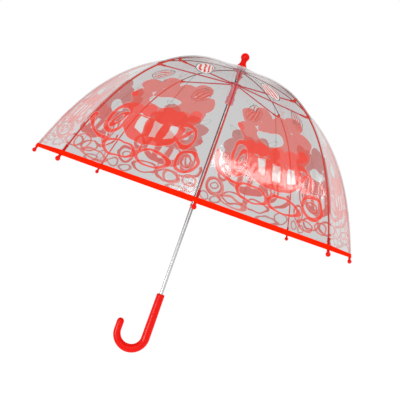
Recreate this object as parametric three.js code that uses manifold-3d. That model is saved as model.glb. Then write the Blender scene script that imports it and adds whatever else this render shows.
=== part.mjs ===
// Children's dome umbrella: clear canopy on eight ribs, steel shaft, J-shaped handle.
// Millimetres, +Z up along the shaft. The origin is where the hand holds it: the middle of the
// straight grip, on the shaft's axis. One rib points along -Y and the crook bends towards -X.

import * as THREE from "three";
import { mergeVertices } from "three/addons/utils/BufferGeometryUtils.js";
import Module from "manifold-3d";

const wasm = await Module();
wasm.setup();

// ---------------------------------------------------------------- driving dimensions

const RIB_COUNT = 8;
const RIB_PITCH = (2 * Math.PI) / RIB_COUNT;

// Heights inside the canopy group are measured from the plane of the rib-tip balls.
const TIP_PLANE_Z = 235.5; // that plane above the origin
const GAP = 0.3; // between neighbouring pieces
const OVERREACH = 1; // how far a cutting tool reaches past what it cuts
const TURNED_SIDES = 24; // round a turned piece

// Canopy: the outline over a rib is one cubic curve from the apex to the hem.
const APEX_Z = 290.5;
const HEM_RADIUS = 337;
const HEM_Z = 8;
const APEX_HANDLE = 203; // length of the curve's level handle at the apex
const HEM_HANDLE = 157; // length of its handle at the hem
const HEM_ANGLE = THREE.MathUtils.degToRad(70); // slope of the skirt at the hem
const CANOPY_THICKNESS = 0.4;
const CANOPY_HOLE_RADIUS = 5.6;
const BINDING_WIDTH = 7.8;
const BINDING_THICKNESS = 0.9;
const BINDING_STEP = 0.05; // run of the step from the sheet up to its binding
const SPLIT_RADIUS = 172; // where each rib and its strip of canopy divide in two
const UPPER_ROWS = 6;
const LOWER_ROWS = 9;

// Ribs and stretchers
const RIB_INSET = 3.4; // rib axis below the canopy's outside
const RIB_ROD_RADIUS = 1.3;
const ROD_SIDES = 6;
const EYE_RADIUS = 1.6;
const EYE_HOLE_RADIUS = 0.95;
const EYE_WIDTH = 1.6;
const BLADE_LENGTH = 5.5; // of the flat blade between a rib's eye and its rod
const BLADE_HALF_HEIGHT = 1.1;
const CLIP_RADIUS = 162; // canopy radius over the clip that holds a stretcher
const CLIP_DROP = 4.5; // stretcher pivot below the rib axis
const CLIP_LENGTH = 7;
const CLIP_LEFT = -2.2; // the clip's two sides, across the rib
const CLIP_RIGHT = 1.7;
const STRETCHER_ROD_RADIUS = 1.1;
const STRETCHER_SHIFT = 4; // a stretcher's outer end lies this far beside its rib
const STRETCHER_SLEEVE_RADIUS = 1.9;
const STRETCHER_SLEEVE_LENGTH = 15;
const STRETCHER_BLADE_LENGTH = 7;
const BLADE_OVERLAP = 2; // of a stretcher's rod with its blade

// Rib tips
const TIP_BALL_RADIUS = 4.3;
const TIP_SLEEVE_RADIUS = 2.4;
const TIP_SLEEVE_LENGTH = 28; // from the ball's centre
const TIP_BORE_DEPTH = 25;
const TIP_BORE_RADIUS = 1.8;

// Shaft
const SHAFT_RADIUS = 4;
const SHAFT_WALL = 0.7;
const SHAFT_TOP_Z = 305;
const SHAFT_BOTTOM_Z = -252;
const CATCH_SLOT_WIDTH = 1.9;

// Crown: the notched ring that carries the ribs
const CROWN_BORE = SHAFT_RADIUS + GAP;
const CROWN_NECK_RADIUS = 5.6;
const CROWN_RADIUS = 10;
const CROWN_TOP_Z = 289.6;
const CROWN_RING_Z = 284.4;
const CROWN_BOTTOM_Z = 271;
const CROWN_WIRE_RADIUS = 7.5;
const CROWN_WIRE_Z = 287.3;
const CROWN_PIN_Z = 276;
const PIN_RADIUS = 0.8;
const PIN_HOLE_LENGTH = 30;

const WIRE_THICKNESS = 0.6; // radius of both wire rings
const NOTCH_WIDTH = 2.3;
const GROOVE_SETBACK = 0.7; // floor of the wire's groove outside the floor of the notches

// Runner: the sliding sleeve that carries the stretchers
const RUNNER_BORE = 4.4;
const RUNNER_TUBE_RADIUS = 6.5;
const RUNNER_TOP_Z = 261;
const RUNNER_HUB_Z = 255;
const RUNNER_BOTTOM_Z = 216;
const RUNNER_HUB_RADIUS = 11;
const RUNNER_NOTCH_RADIUS = 7.4;
const RUNNER_WIRE_RADIUS = 9.3;
const RUNNER_WIRE_Z = 258;
const RUNNER_COLLAR_RADIUS = 8.5;
const RUNNER_COLLAR_Z = [218, 230];
const RUNNER_COLLAR_TAPER = 2; // height of the slope above the collar
const RUNNER_HUB_TAPER = 3; // height of the slope under the hub
const RUNNER_WINDOW_Z = [235, 252];
const RUNNER_WINDOW_DEPTH = 9;

// Catches: two sprung blades in the shaft that hold the runner open and closed
const CATCH_THICKNESS = 1.2;
const CATCH_HEIGHT = 19;
const CATCH_NOSE = 6.4; // how far the nose reaches from the axis
const CATCH_BACK = 1.3; // how far the back lies from the axis
const CATCH_LAND = 2.5; // height of the nose's flat
const OPEN_CATCH_Z = 215.6; // shoulder just under the open runner
const CLOSED_CATCH_Z = -38.6; // shoulder just over the sill of the closed runner's window

// Ferrule
const CAP_RADIUS = 8.5;
const CAP_THICKNESS = 0.6;
const FERRULE_BASE_Z = 291.9;
const FERRULE_FOOT_EDGE = [0.8, 2.1]; // width and height of the slope round its foot
const FERRULE_FLARE_RADIUS = 9.4;
const FERRULE_FLARE_Z = 298.4;
const FERRULE_NECK_RADIUS = 5.7;
const FERRULE_NECK_Z = 307.4;
const FERRULE_BALL_RADIUS = 8.7;
const FERRULE_BALL_Z = 317.2;

// Handle
const HANDLE_TOP_Z = -188.3;
const GRIP_LENGTH = 94.4;
const CROOK_RADIUS = 29.3;
const HANDLE_END_RISE = 16.5;
const HANDLE_TOP_RADIUS = 8.2;
const HANDLE_BEND_RADIUS = 8.75;
const HANDLE_END_RADIUS = 7.3;
const HANDLE_EDGE_RADIUS = 1.6;
const HANDLE_EDGE_CORNER = 0.3; // share of the edge cut off by its middle point
const HANDLE_SIDES = 16;

// ---------------------------------------------------------------- materials

const finish = (color, roughness, metalness, extra = {}) =>
  new THREE.MeshStandardMaterial({ color, roughness, metalness, ...extra });

const redPlastic = finish(0xc8161c, 0.25, 0);
const redRod = finish(0xb9252b, 0.4, 0.2);
const pinkRod = finish(0xd8566a, 0.4, 0.1);
const steel = finish(0xb9bcc0, 0.25, 1);
const clearSheet = finish(0xe6e6e8, 0.15, 0, { transparent: true, opacity: 0.35 });

// ---------------------------------------------------------------- solids

// A three.js geometry as a manifold solid.
function solid(geometry) {
  const bare = geometry.clone();
  bare.deleteAttribute("normal");
  bare.deleteAttribute("uv");
  const merged = mergeVertices(bare, 1e-4);
  return new wasm.Manifold(
    new wasm.Mesh({
      numProp: 3,
      vertProperties: new Float32Array(merged.attributes.position.array),
      triVerts: new Uint32Array(merged.index.array),
    })
  );
}

// A manifold solid as a three.js geometry.
function geometryOf(manifold) {
  const mesh = manifold.getMesh();
  const geometry = new THREE.BufferGeometry();
  geometry.setAttribute("position", new THREE.BufferAttribute(mesh.vertProperties, 3));
  geometry.setIndex(new THREE.BufferAttribute(mesh.triVerts, 1));
  geometry.computeVertexNormals();
  return geometry;
}

function join(...geometries) {
  return geometryOf(geometries.map(solid).reduce((sum, next) => sum.add(next)));
}

function cut(geometry, ...tools) {
  return geometryOf(tools.map(solid).reduce((rest, tool) => rest.subtract(tool), solid(geometry)));
}

// Closed solid through a list of rings, each an equal list of points, with flat ends.
function loft(rings) {
  const sides = rings[0].length;
  const points = rings.flat();
  const faces = [];
  for (let ring = 0; ring + 1 < rings.length; ring++) {
    for (let side = 0; side < sides; side++) {
      const a = ring * sides + side;
      const b = ring * sides + ((side + 1) % sides);
      faces.push(a, b, b + sides, a, b + sides, a + sides);
    }
  }
  const last = points.length - sides;
  for (let side = 1; side + 1 < sides; side++) {
    faces.push(0, side + 1, side);
    faces.push(last, last + side, last + side + 1);
  }
  const geometry = new THREE.BufferGeometry().setFromPoints(points);
  geometry.setIndex(faces);
  geometry.computeVertexNormals();
  return geometry;
}

// Body of revolution about Z from [radius, height] pairs.
function turned(profile, segments) {
  const points = profile.map(([radius, height]) => new THREE.Vector2(radius, height));
  return new THREE.LatheGeometry(points, segments).rotateX(Math.PI / 2);
}

// Tube with walls between two radii, as a closed profile.
function turnedTube(inner, outer, low, high, segments) {
  return turned(
    [
      [inner, low],
      [outer, low],
      [outer, high],
      [inner, high],
      [inner, low],
    ],
    segments
  );
}

// Straight rod between two points.
function rod(from, to, radius, sides = ROD_SIDES) {
  const along = new THREE.Vector3().subVectors(to, from);
  const geometry = new THREE.CylinderGeometry(radius, radius, along.length(), sides);
  geometry.applyQuaternion(
    new THREE.Quaternion().setFromUnitVectors(new THREE.Vector3(0, 1, 0), along.clone().normalize())
  );
  return geometry.translate(...new THREE.Vector3().addVectors(from, to).divideScalar(2));
}

// Disc or cylinder lying along the tangential Y axis.
function crossCylinder(radius, width, x, y, z, sides = 10) {
  return new THREE.CylinderGeometry(radius, radius, width, sides).translate(x, y, z);
}

// Block between two limits on each axis.
function box(x, y, z) {
  const geometry = new THREE.BoxGeometry(x[1] - x[0], y[1] - y[0], z[1] - z[0]);
  return geometry.translate((x[0] + x[1]) / 2, (y[0] + y[1]) / 2, (z[0] + z[1]) / 2);
}

// ---------------------------------------------------------------- the canopy's outline

// Radius against height over a rib, on the canopy's outside.
const canopyLine = new THREE.CubicBezierCurve(
  new THREE.Vector2(0, APEX_Z),
  new THREE.Vector2(APEX_HANDLE, APEX_Z),
  new THREE.Vector2(
    HEM_RADIUS - HEM_HANDLE * Math.cos(HEM_ANGLE),
    HEM_Z + HEM_HANDLE * Math.sin(HEM_ANGLE)
  ),
  new THREE.Vector2(HEM_RADIUS, HEM_Z)
);

// The curve's parameter where it reaches a radius.
function parameterAt(radius) {
  let low = 0;
  let high = 1;
  for (let step = 0; step < 40; step++) {
    const middle = (low + high) / 2;
    if (canopyLine.getPoint(middle).x < radius) low = middle;
    else high = middle;
  }
  return low;
}

// A point a little inside the outline, as [radius, height].
function insidePoint(parameter, inset) {
  const point = canopyLine.getPoint(parameter);
  const along = canopyLine.getTangent(parameter);
  return [point.x + along.y * inset, point.y - along.x * inset];
}

// The curve's parameter a short length further on, or further back if the length is negative.
function moved(parameter, length) {
  const step = 1e-3;
  const here = canopyLine.getPoint(parameter);
  const before = canopyLine.getPoint(parameter - step);
  return parameter + (length * step) / here.distanceTo(before);
}

// The rib's axis between two parameters of the outline, in the rib's own XZ plane.
class RibLine extends THREE.Curve {
  constructor(from, to) {
    super();
    this.from = from;
    this.to = to;
  }

  getPoint(share, target = new THREE.Vector3()) {
    const [x, z] = insidePoint(THREE.MathUtils.lerp(this.from, this.to, share), RIB_INSET);
    return target.set(x, 0, z);
  }
}

const splitParameter = parameterAt(SPLIT_RADIUS);
const clipParameter = parameterAt(CLIP_RADIUS);
const hemDirection = new THREE.Vector3(Math.cos(HEM_ANGLE), 0, -Math.sin(HEM_ANGLE));
const ribEnd = new RibLine(0, 1).getPoint(1);
// The ball's centre: straight on from the rib's end, down to height 0.
const tipCentre = ribEnd.clone().addScaledVector(hemDirection, ribEnd.z / Math.sin(HEM_ANGLE));
const [clipX, clipZ] = insidePoint(clipParameter, RIB_INSET + CLIP_DROP);
const stretcherEnd = new THREE.Vector3(clipX, STRETCHER_SHIFT, clipZ);

// ---------------------------------------------------------------- ribs

function roundSection(radius, sides) {
  const shape = new THREE.Shape();
  for (let side = 0; side < sides; side++) {
    const angle = (2 * Math.PI * (side + 0.5)) / sides;
    const [x, y] = [radius * Math.cos(angle), radius * Math.sin(angle)];
    if (side === 0) shape.moveTo(x, y);
    else shape.lineTo(x, y);
  }
  shape.closePath();
  return shape;
}

function rodAlong(path, steps) {
  const section = roundSection(RIB_ROD_RADIUS, ROD_SIDES);
  return new THREE.ExtrudeGeometry(section, { extrudePath: path, steps, bevelEnabled: false });
}

// Round end on a rod, centred so that two such ends can turn about the split between them.
const roundEnd = (centre) =>
  new THREE.SphereGeometry(RIB_ROD_RADIUS, ROD_SIDES, 4).translate(centre.x, centre.y, centre.z);

const END_SETBACK = RIB_ROD_RADIUS + GAP / 2; // from the split to the centre of a round end

// Inner rib: eye on the crown's wire, rod, and the clip for the stretcher.
function innerRib() {
  const bladeEnd = CROWN_WIRE_RADIUS + BLADE_LENGTH;
  const line = new RibLine(parameterAt(bladeEnd - 1), moved(splitParameter, -END_SETBACK));
  const eye = crossCylinder(EYE_RADIUS, EYE_WIDTH, CROWN_WIRE_RADIUS, 0, CROWN_WIRE_Z);
  const blade = box(
    [CROWN_WIRE_RADIUS, bladeEnd],
    [-EYE_WIDTH / 2, EYE_WIDTH / 2],
    [CROWN_WIRE_Z - BLADE_HALF_HEIGHT, CROWN_WIRE_Z + BLADE_HALF_HEIGHT]
  );
  const clip = box(
    [-CLIP_LENGTH / 2, CLIP_LENGTH / 2],
    [CLIP_LEFT, CLIP_RIGHT],
    [-CLIP_DROP - EYE_RADIUS, RIB_ROD_RADIUS]
  );
  const slope = canopyLine.getTangent(clipParameter);
  const [clipAxisX, clipAxisZ] = insidePoint(clipParameter, RIB_INSET);
  clip.rotateY(-Math.atan2(slope.y, slope.x)).translate(clipAxisX, 0, clipAxisZ);
  const body = join(rodAlong(line, 7), roundEnd(line.getPoint(1)), blade, eye, clip);
  return cut(
    body,
    crossCylinder(EYE_HOLE_RADIUS, 2 * EYE_WIDTH, CROWN_WIRE_RADIUS, 0, CROWN_WIRE_Z),
    crossCylinder(EYE_HOLE_RADIUS, 2 * CLIP_LENGTH, stretcherEnd.x, 0, stretcherEnd.z)
  );
}

function outerRib() {
  const line = new RibLine(moved(splitParameter, END_SETBACK), 1);
  return join(rodAlong(line, 9), roundEnd(line.getPoint(0)));
}

// Ball on a sleeve that slips over the rib's end.
function ribTip() {
  const neckHeight = Math.sqrt(TIP_BALL_RADIUS ** 2 - TIP_SLEEVE_RADIUS ** 2);
  const profile = [[0, -TIP_BALL_RADIUS]];
  const bottom = -Math.PI / 2;
  const top = Math.asin(neckHeight / TIP_BALL_RADIUS);
  const steps = 5;
  for (let step = 1; step <= steps; step++) {
    const angle = THREE.MathUtils.lerp(bottom, top, step / steps);
    profile.push([TIP_BALL_RADIUS * Math.cos(angle), TIP_BALL_RADIUS * Math.sin(angle)]);
  }
  const floor = TIP_SLEEVE_LENGTH - TIP_BORE_DEPTH;
  profile.push([TIP_SLEEVE_RADIUS, TIP_SLEEVE_LENGTH], [TIP_BORE_RADIUS, TIP_SLEEVE_LENGTH]);
  profile.push([TIP_BORE_RADIUS, floor], [0, floor]);
  const geometry = turned(profile, 10);
  geometry.rotateY(HEM_ANGLE - Math.PI / 2);
  return geometry.translate(tipCentre.x, 0, tipCentre.z);
}

// Stretcher: rod from the runner's wire to a thicker sleeve beside the rib's clip.
function stretcher() {
  const inner = new THREE.Vector3(RUNNER_WIRE_RADIUS, 0, RUNNER_WIRE_Z);
  const along = new THREE.Vector3().subVectors(stretcherEnd, inner).normalize();
  const bladeEnd = inner.clone().addScaledVector(along, STRETCHER_BLADE_LENGTH);
  const rodStart = bladeEnd.clone().addScaledVector(along, -BLADE_OVERLAP);
  const sleeveStart = stretcherEnd.clone().addScaledVector(along, -STRETCHER_SLEEVE_LENGTH);
  const eye = crossCylinder(EYE_RADIUS, EYE_WIDTH, inner.x, 0, inner.z);
  const blade = box(
    [0, STRETCHER_BLADE_LENGTH],
    [-EYE_WIDTH / 2, EYE_WIDTH / 2],
    [-STRETCHER_ROD_RADIUS, STRETCHER_ROD_RADIUS]
  );
  blade.applyQuaternion(
    new THREE.Quaternion().setFromUnitVectors(new THREE.Vector3(1, 0, 0), along)
  );
  blade.translate(inner.x, inner.y, inner.z);
  const body = join(
    rod(rodStart, stretcherEnd, STRETCHER_ROD_RADIUS),
    rod(sleeveStart, stretcherEnd, STRETCHER_SLEEVE_RADIUS),
    blade,
    eye
  );
  return cut(body, crossCylinder(EYE_HOLE_RADIUS, 2 * EYE_WIDTH, inner.x, 0, inner.z));
}

// ---------------------------------------------------------------- canopy strips

// Strip of canopy over a rib, between two parameters, reaching halfway to the next rib each way.
// Level cuts through the canopy are octagons with a corner over each rib.
function canopyStrip(from, to, rows, bound) {
  const halfPitch = RIB_PITCH / 2;
  const ringAt = (parameter, thickness, lift) => {
    const [outerR, outerZ] = insidePoint(parameter, -lift);
    const [innerR, innerZ] = insidePoint(parameter, thickness - lift);
    const side = (radius, z, sign) => {
      const along = radius * Math.sin(halfPitch) - GAP / 2;
      return new THREE.Vector3(
        radius - along * Math.sin(halfPitch),
        sign * along * Math.cos(halfPitch),
        z
      );
    };
    return [
      new THREE.Vector3(outerR, 0, outerZ),
      side(outerR, outerZ, -1),
      side(innerR, innerZ, -1),
      new THREE.Vector3(innerR, 0, innerZ),
      side(innerR, innerZ, 1),
      side(outerR, outerZ, 1),
    ];
  };
  const rings = [];
  const clothEnd = bound ? moved(to, -BINDING_WIDTH) : to;
  for (let row = 0; row <= rows; row++) {
    rings.push(ringAt(THREE.MathUtils.lerp(from, clothEnd, row / rows), CANOPY_THICKNESS, 0));
  }
  if (bound) {
    const lift = BINDING_THICKNESS - CANOPY_THICKNESS;
    rings.push(ringAt(moved(clothEnd, BINDING_STEP), BINDING_THICKNESS, lift));
    rings.push(ringAt(to, BINDING_THICKNESS, lift));
  }
  return loft(rings);
}

function canopyUpper() {
  const hole = parameterAt(CANOPY_HOLE_RADIUS);
  return canopyStrip(hole, moved(splitParameter, -GAP / 2), UPPER_ROWS, false);
}

function canopyLower() {
  return canopyStrip(moved(splitParameter, GAP / 2), 1, LOWER_ROWS, true);
}

// ---------------------------------------------------------------- crown, runner, wires

// Radial notches for the eyes, and the groove that the wire ring lies in.
function notchCutters(floorRadius, outerRadius, wireZ, low, high) {
  const cutters = [];
  for (let rib = 0; rib < RIB_COUNT; rib++) {
    const notch = box(
      [floorRadius, outerRadius + OVERREACH],
      [-NOTCH_WIDTH / 2, NOTCH_WIDTH / 2],
      [low - OVERREACH, high + OVERREACH]
    );
    cutters.push(notch.rotateZ(rib * RIB_PITCH));
  }
  const groove = WIRE_THICKNESS + GAP;
  const [grooveFloor, grooveMouth] = [floorRadius + GROOVE_SETBACK, outerRadius + OVERREACH];
  cutters.push(turnedTube(grooveFloor, grooveMouth, wireZ - groove, wireZ + groove, TURNED_SIDES));
  return cutters;
}

function crown() {
  const body = turned(
    [
      [CROWN_BORE, CROWN_BOTTOM_Z],
      [CROWN_NECK_RADIUS, CROWN_BOTTOM_Z],
      [CROWN_NECK_RADIUS, CROWN_RING_Z],
      [CROWN_RADIUS, CROWN_RING_Z],
      [CROWN_RADIUS, CROWN_TOP_Z],
      [CROWN_BORE, CROWN_TOP_Z],
      [CROWN_BORE, CROWN_BOTTOM_Z],
    ],
    TURNED_SIDES
  );
  return cut(
    body,
    ...notchCutters(CROWN_NECK_RADIUS, CROWN_RADIUS, CROWN_WIRE_Z, CROWN_RING_Z, CROWN_TOP_Z),
    pinHole()
  );
}

function wireRing(radius, height) {
  return new THREE.TorusGeometry(radius, WIRE_THICKNESS, 5, TURNED_SIDES).translate(0, 0, height);
}

function pinHole() {
  const radius = PIN_RADIUS + GAP;
  return new THREE.CylinderGeometry(radius, radius, PIN_HOLE_LENGTH, 12)
    .rotateZ(Math.PI / 2)
    .translate(0, 0, CROWN_PIN_Z);
}

function crownPin() {
  return new THREE.CylinderGeometry(PIN_RADIUS, PIN_RADIUS, 2 * CROWN_NECK_RADIUS, 12)
    .rotateZ(Math.PI / 2)
    .translate(0, 0, CROWN_PIN_Z);
}

function runner() {
  const [collarLow, collarHigh] = RUNNER_COLLAR_Z;
  const body = turned(
    [
      [RUNNER_BORE, RUNNER_BOTTOM_Z],
      [RUNNER_TUBE_RADIUS, RUNNER_BOTTOM_Z],
      [RUNNER_COLLAR_RADIUS, collarLow],
      [RUNNER_COLLAR_RADIUS, collarHigh],
      [RUNNER_TUBE_RADIUS, collarHigh + RUNNER_COLLAR_TAPER],
      [RUNNER_TUBE_RADIUS, RUNNER_HUB_Z - RUNNER_HUB_TAPER],
      [RUNNER_HUB_RADIUS, RUNNER_HUB_Z],
      [RUNNER_HUB_RADIUS, RUNNER_TOP_Z],
      [RUNNER_BORE, RUNNER_TOP_Z],
      [RUNNER_BORE, RUNNER_BOTTOM_Z],
    ],
    TURNED_SIDES
  );
  const window = box(
    [-CATCH_SLOT_WIDTH / 2, CATCH_SLOT_WIDTH / 2],
    [0, RUNNER_WINDOW_DEPTH],
    RUNNER_WINDOW_Z
  );
  return cut(
    body,
    ...notchCutters(
      RUNNER_NOTCH_RADIUS,
      RUNNER_HUB_RADIUS,
      RUNNER_WIRE_Z,
      RUNNER_HUB_Z - RUNNER_HUB_TAPER,
      RUNNER_TOP_Z
    ),
    window
  );
}

// ---------------------------------------------------------------- shaft and catches

function catchSlot(low) {
  return box(
    [-CATCH_SLOT_WIDTH / 2, CATCH_SLOT_WIDTH / 2],
    [0, SHAFT_RADIUS + OVERREACH],
    [low - GAP, low + CATCH_HEIGHT + GAP]
  );
}

function shaftTube() {
  const bore = SHAFT_RADIUS - SHAFT_WALL;
  const tube = turnedTube(bore, SHAFT_RADIUS, SHAFT_BOTTOM_Z, SHAFT_TOP_Z, TURNED_SIDES);
  return cut(tube, catchSlot(OPEN_CATCH_Z - CATCH_HEIGHT), catchSlot(CLOSED_CATCH_Z), pinHole());
}

// Blade with a square shoulder at height 0 and a slope that runs back into the shaft.
// It points along +Y; up is 1 for a slope above the shoulder and -1 for a slope below it.
function catchBlade(shoulderZ, up) {
  const outline = new THREE.Shape([
    new THREE.Vector2(CATCH_BACK, 0),
    new THREE.Vector2(CATCH_NOSE, 0),
    new THREE.Vector2(CATCH_NOSE, up * CATCH_LAND),
    new THREE.Vector2(SHAFT_RADIUS - SHAFT_WALL - GAP, up * CATCH_HEIGHT),
    new THREE.Vector2(CATCH_BACK, up * CATCH_HEIGHT),
  ]);
  const blade = new THREE.ExtrudeGeometry(outline, { depth: CATCH_THICKNESS, bevelEnabled: false });
  blade.translate(0, 0, -CATCH_THICKNESS / 2);
  blade.rotateX(Math.PI / 2).rotateZ(Math.PI / 2);
  return blade.translate(0, 0, shoulderZ);
}

// ---------------------------------------------------------------- ferrule and handle

function canopyCap() {
  const low = APEX_Z + GAP;
  return turnedTube(SHAFT_RADIUS + GAP, CAP_RADIUS, low, low + CAP_THICKNESS, TURNED_SIDES);
}

// Ball on a waisted foot, bored for the end of the shaft.
function ferrule() {
  const bore = SHAFT_RADIUS + GAP;
  const [edgeWidth, edgeHeight] = FERRULE_FOOT_EDGE;
  const profile = [
    [bore, FERRULE_BASE_Z],
    [FERRULE_FLARE_RADIUS - edgeWidth, FERRULE_BASE_Z],
    [FERRULE_FLARE_RADIUS, FERRULE_BASE_Z + edgeHeight],
    [FERRULE_FLARE_RADIUS, FERRULE_FLARE_Z],
  ];
  // The waist: a quarter of an ellipse from the flare in to the neck.
  const waistSteps = 4;
  for (let step = 1; step <= waistSteps; step++) {
    const angle = (Math.PI / 2) * (step / waistSteps);
    profile.push([
      THREE.MathUtils.lerp(FERRULE_FLARE_RADIUS, FERRULE_NECK_RADIUS, Math.sin(angle)),
      THREE.MathUtils.lerp(FERRULE_FLARE_Z, FERRULE_NECK_Z, 1 - Math.cos(angle)),
    ]);
  }
  const start = -Math.acos(FERRULE_NECK_RADIUS / FERRULE_BALL_RADIUS);
  const steps = 7;
  for (let step = 0; step <= steps; step++) {
    const angle = THREE.MathUtils.lerp(start, Math.PI / 2, step / steps);
    profile.push([
      step === steps ? 0 : FERRULE_BALL_RADIUS * Math.cos(angle),
      FERRULE_BALL_Z + FERRULE_BALL_RADIUS * Math.sin(angle),
    ]);
  }
  profile.push([0, SHAFT_TOP_Z + GAP], [bore, SHAFT_TOP_Z + GAP], [bore, FERRULE_BASE_Z]);
  return turned(profile, 20);
}

// J-shaped handle: straight grip, half turn, short rise and a round end, bored for the shaft.
function handle() {
  const bendZ = HANDLE_TOP_Z - GRIP_LENGTH;
  const rings = [];
  // A ring across the handle: centre, direction of travel as an angle from straight down.
  const ring = (x, z, turn, radius) => {
    const points = [];
    for (let side = 0; side < HANDLE_SIDES; side++) {
      const angle = (2 * Math.PI * side) / HANDLE_SIDES;
      const across = radius * Math.cos(angle);
      points.push(
        new THREE.Vector3(
          x + across * Math.cos(turn),
          -radius * Math.sin(angle),
          z + across * Math.sin(turn)
        )
      );
    }
    rings.push(points);
  };
  const radiusOnGrip = (share) =>
    THREE.MathUtils.lerp(HANDLE_TOP_RADIUS, HANDLE_BEND_RADIUS, THREE.MathUtils.smoothstep(share, 0, 1));
  const corner = HANDLE_EDGE_CORNER * HANDLE_EDGE_RADIUS;
  ring(0, HANDLE_TOP_Z, 0, HANDLE_TOP_RADIUS - HANDLE_EDGE_RADIUS);
  ring(0, HANDLE_TOP_Z - corner, 0, HANDLE_TOP_RADIUS - corner);
  ring(0, HANDLE_TOP_Z - HANDLE_EDGE_RADIUS, 0, HANDLE_TOP_RADIUS);
  for (const share of [0.3, 0.6, 1]) {
    ring(0, HANDLE_TOP_Z - share * GRIP_LENGTH, 0, radiusOnGrip(share));
  }
  const bendSteps = 12;
  for (let step = 1; step <= bendSteps; step++) {
    const share = step / bendSteps;
    const turn = -Math.PI * share;
    ring(
      -CROOK_RADIUS + CROOK_RADIUS * Math.cos(turn),
      bendZ + CROOK_RADIUS * Math.sin(turn),
      turn,
      THREE.MathUtils.lerp(HANDLE_BEND_RADIUS, HANDLE_END_RADIUS, Math.max(0, 2 * share - 1))
    );
  }
  const domeSteps = 4;
  for (let step = 0; step < domeSteps; step++) {
    const angle = (Math.PI / 2) * (step / domeSteps);
    const rise = HANDLE_END_RISE + HANDLE_END_RADIUS * Math.sin(angle);
    ring(-2 * CROOK_RADIUS, bendZ + rise, -Math.PI, HANDLE_END_RADIUS * Math.cos(angle));
  }
  const boreRadius = SHAFT_RADIUS + GAP;
  const [low, high] = [SHAFT_BOTTOM_Z - GAP, HANDLE_TOP_Z + OVERREACH];
  const bore = new THREE.CylinderGeometry(boreRadius, boreRadius, high - low, TURNED_SIDES);
  bore.rotateX(Math.PI / 2).translate(0, 0, (low + high) / 2);
  return cut(loft(rings), bore);
}

// ---------------------------------------------------------------- assembly

const umbrella = new THREE.Group();
umbrella.position.z = TIP_PLANE_Z;

function add(parent, name, geometry, material) {
  const mesh = new THREE.Mesh(geometry, material);
  mesh.name = name;
  parent.add(mesh);
}

add(umbrella, "shaft_tube", shaftTube(), steel);
add(umbrella, "handle", handle(), redPlastic);
add(umbrella, "ferrule", ferrule(), redPlastic);
add(umbrella, "canopy_cap", canopyCap(), redPlastic);
add(umbrella, "crown", crown(), redPlastic);
add(umbrella, "crown_wire", wireRing(CROWN_WIRE_RADIUS, CROWN_WIRE_Z), steel);
add(umbrella, "crown_pin", crownPin(), steel);
add(umbrella, "runner", runner(), redPlastic);
add(umbrella, "runner_wire", wireRing(RUNNER_WIRE_RADIUS, RUNNER_WIRE_Z), steel);
add(umbrella, "open_catch", catchBlade(OPEN_CATCH_Z, -1), steel);
add(umbrella, "closed_catch", catchBlade(CLOSED_CATCH_Z, 1), steel);

// Rib 1 points along -Y; the others follow anticlockwise, seen from above.
const ribPieces = {
  inner: innerRib(),
  outer: outerRib(),
  tip: ribTip(),
  stretcher: stretcher(),
  upper: canopyUpper(),
  lower: canopyLower(),
};
for (let rib = 0; rib < RIB_COUNT; rib++) {
  const arm = new THREE.Group();
  arm.rotation.z = -Math.PI / 2 + rib * RIB_PITCH;
  umbrella.add(arm);
  const number = rib + 1;
  add(arm, `rib_${number}_inner`, ribPieces.inner, redRod);
  add(arm, `rib_${number}_outer`, ribPieces.outer, redRod);
  add(arm, `rib_${number}_tip`, ribPieces.tip, redPlastic);
  add(arm, `stretcher_${number}`, ribPieces.stretcher, pinkRod);
  add(arm, `canopy_${number}_upper`, ribPieces.upper, clearSheet);
  add(arm, `canopy_${number}_lower`, ribPieces.lower, clearSheet);
}

export default umbrella;
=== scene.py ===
"""Looks of the children's dome umbrella: clear printed canopy, red ribs, steel shaft and crook handle.

Lengths are millimetres. Most shapes are made in the canopy's own frame, where X runs out along a rib,
Y across it and Z up the shaft from the plane of the rib tips; make_mesh() turns and lifts them into
the row frame, in metres.
"""

import math

import bpy
import numpy as np
from mathutils import Matrix, Vector


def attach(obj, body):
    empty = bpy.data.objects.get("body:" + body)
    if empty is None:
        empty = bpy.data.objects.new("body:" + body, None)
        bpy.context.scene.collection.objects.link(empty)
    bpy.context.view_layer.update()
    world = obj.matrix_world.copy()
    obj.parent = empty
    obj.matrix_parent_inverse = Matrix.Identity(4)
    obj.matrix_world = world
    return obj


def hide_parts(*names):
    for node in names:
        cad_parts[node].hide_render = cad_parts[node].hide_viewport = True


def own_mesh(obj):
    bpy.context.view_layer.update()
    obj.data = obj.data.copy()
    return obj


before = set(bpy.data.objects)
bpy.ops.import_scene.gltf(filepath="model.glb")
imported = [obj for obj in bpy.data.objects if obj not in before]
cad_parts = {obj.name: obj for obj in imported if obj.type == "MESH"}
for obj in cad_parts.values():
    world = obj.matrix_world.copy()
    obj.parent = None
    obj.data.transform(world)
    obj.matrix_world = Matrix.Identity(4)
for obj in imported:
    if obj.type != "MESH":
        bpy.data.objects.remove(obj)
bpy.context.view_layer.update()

MM = 0.001
RIB_COUNT = 8
HALF_PITCH = math.pi / RIB_COUNT
TIP_PLANE_Z = 235.5

# ---------------------------------------------------------------- sizes

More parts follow.
